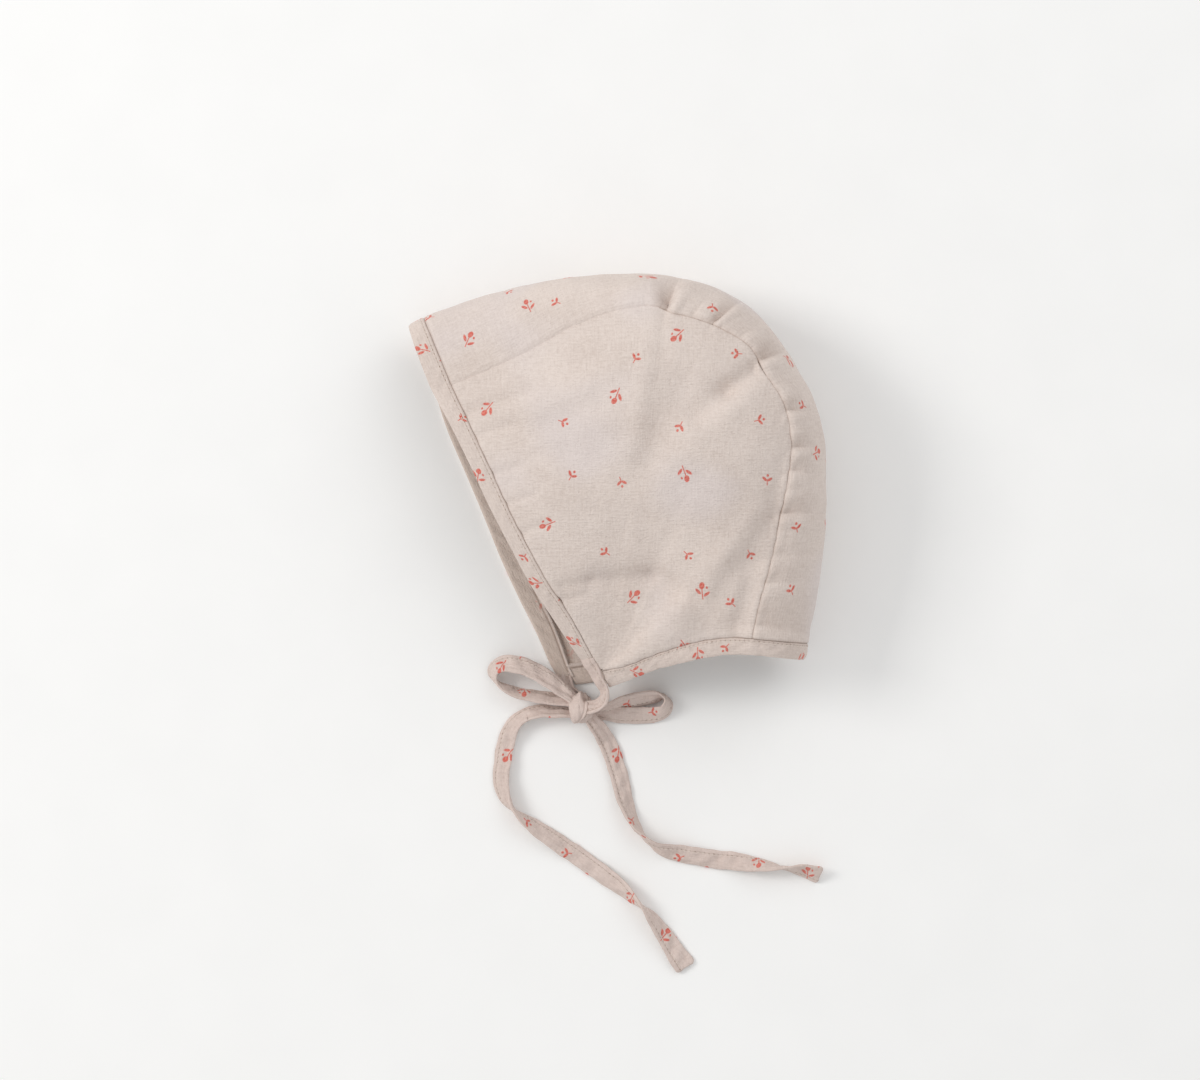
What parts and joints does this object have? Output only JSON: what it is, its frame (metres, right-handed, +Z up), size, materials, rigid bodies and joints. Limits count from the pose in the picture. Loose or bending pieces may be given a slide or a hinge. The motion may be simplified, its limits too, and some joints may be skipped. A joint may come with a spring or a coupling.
{
  "type": "baby bonnet",
  "caption": "Soft cotton baby bonnet lying on its side, with a small tossed sprig print, a bound face edge and ties knotted in a bow.",
  "frame": {"origin": "on the surface that the bonnet lies on, under the middle of the bonnet and its ties", "axes": "+Z up from the surface, the face opening looks along -X, the neck opening along -Y, and the crown lies towards +Y"},
  "size_m": [0.1733, 0.2921, 0.0644],
  "materials": {
    "printed_cotton": "matt plain-woven cotton with a small coral print",
    "tie_cotton": "matt plain-woven cotton, folded and edge-stitched"
  },
  "bodies": {
    "root": {"side_panel_upper": "printed_cotton", "side_panel_lower": "printed_cotton", "centre_panel": "printed_cotton", "front_binding": "printed_cotton", "nape_hem": "printed_cotton", "bow_knot": "tie_cotton", "tie_lead_upper": "tie_cotton", "tie_lead_lower": "tie_cotton", "bow_loop_left": "tie_cotton", "bow_loop_right": "tie_cotton", "tie_tail_left": "tie_cotton", "tie_tail_right": "tie_cotton"}
  },
  "joints": []
}
